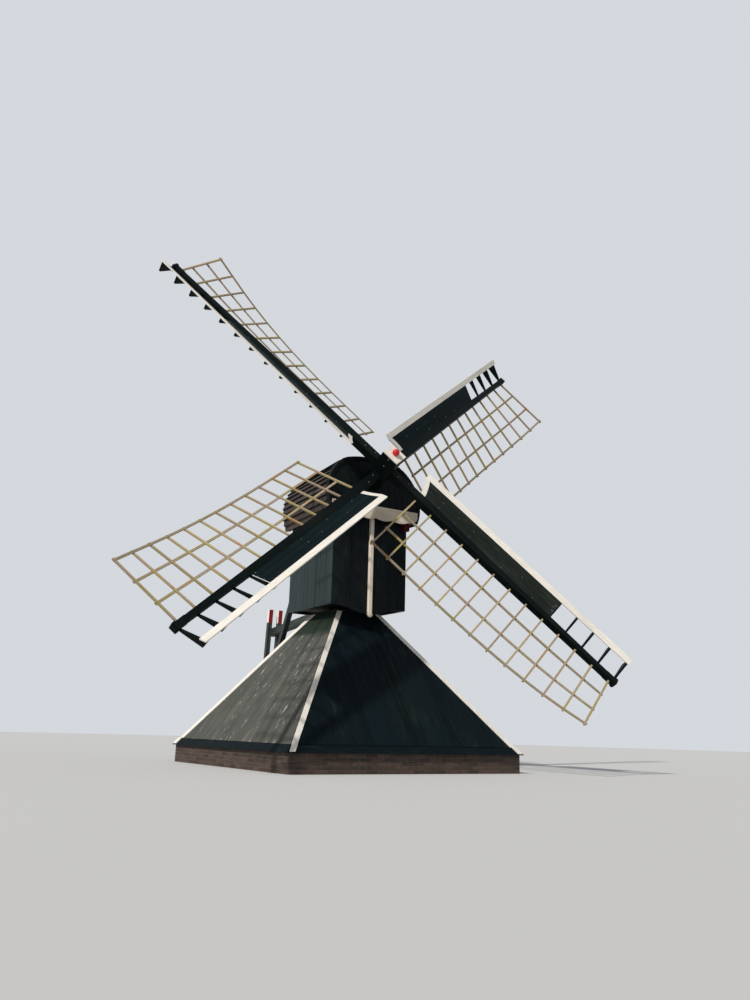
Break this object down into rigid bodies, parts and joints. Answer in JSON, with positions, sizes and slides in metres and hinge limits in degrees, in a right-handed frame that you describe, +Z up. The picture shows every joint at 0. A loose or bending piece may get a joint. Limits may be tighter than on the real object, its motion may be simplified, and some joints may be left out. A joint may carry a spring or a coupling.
{
  "type": "windmill",
  "caption": "Small wooden drainage windmill: a boarded pyramid base, a narrow upper house that turns on a hollow post, and sails of twisted lattice on crossed stocks.",
  "frame": {"origin": "on the upright turning axis of the upper house, at ground level", "axes": "+Z up; the sails face -Y; +X to the right of someone who looks at the sails"},
  "size_m": [9.8096, 6.7999, 9.6249],
  "materials": {
    "brick": "weathered brick laid in courses",
    "base_boards": "tarred boards, weathered",
    "white_paint": "white painted wood",
    "cream_paint": "cream painted wood",
    "dark_timber": "tarred timber",
    "green_boards": "dark green painted boards",
    "roof_boards": "lapped boards, weathered brown grey",
    "stock_paint": "black green paint",
    "sail_wood": "bare wood, weathered yellow grey",
    "wind_boards": "dark green painted thin boards",
    "red_paint": "red painted wood",
    "red_knob": "bright red painted wood",
    "tail_timber": "grey green paint, worn",
    "inner_timber": "plain sawn timber"
  },
  "bodies": {
    "base": {"base_back_side": "base_boards", "base_front_side": "base_boards", "base_left_side": "base_boards", "base_right_side": "base_boards", "base_skirting": "base_boards", "brick_footing": "brick", "cross_beams": "inner_timber", "hip_boards": "white_paint", "hollow_post": "inner_timber", "post_collar": "dark_timber"},
    "upper_house": {"back_gable": "green_boards", "centre_post": "white_paint", "eaves_blocks": "red_paint", "front_gable": "green_boards", "gable_soffit": "red_paint", "house_back_wall": "green_boards", "house_floor": "inner_timber", "house_front_wall": "green_boards", "house_left_wall": "green_boards", "house_right_wall": "green_boards", "neck_beam": "inner_timber", "roof_shell": "roof_boards", "shaft_tail_beam": "inner_timber", "tail_beam": "tail_timber", "tail_struts": "tail_timber", "tail_uprights": "tail_timber", "valance": "cream_paint", "wall_plates": "inner_timber"},
    "rotor": {"lead_board_1": "white_paint", "lead_board_2": "white_paint", "lead_board_3": "white_paint", "lead_board_4": "white_paint", "lead_end_boards": "white_paint", "poll_end_cap": "white_paint", "poll_knob": "red_knob", "sail_brackets": "wind_boards", "sail_lattice_1": "sail_wood", "sail_lattice_2": "sail_wood", "sail_lattice_3": "sail_wood", "sail_lattice_4": "sail_wood", "stock_back": "stock_paint", "stock_front": "stock_paint", "wind_boards_1": "wind_boards", "wind_boards_2": "wind_boards", "wind_boards_3": "wind_boards", "wind_boards_4": "wind_boards", "windshaft": "dark_timber"}
  },
  "joints": [
    {"name": "house_turn", "type": "hinge", "parent": "base", "child": "upper_house", "pos_m": [0, 0, 2.7], "axis": [0, 0, 1], "continuous": true},
    {"name": "sail_turn", "type": "hinge", "parent": "upper_house", "child": "rotor", "pos_m": [0, -1.24, 5.2], "axis": [0, -0.9003, 0.4352], "continuous": true}
  ]
}
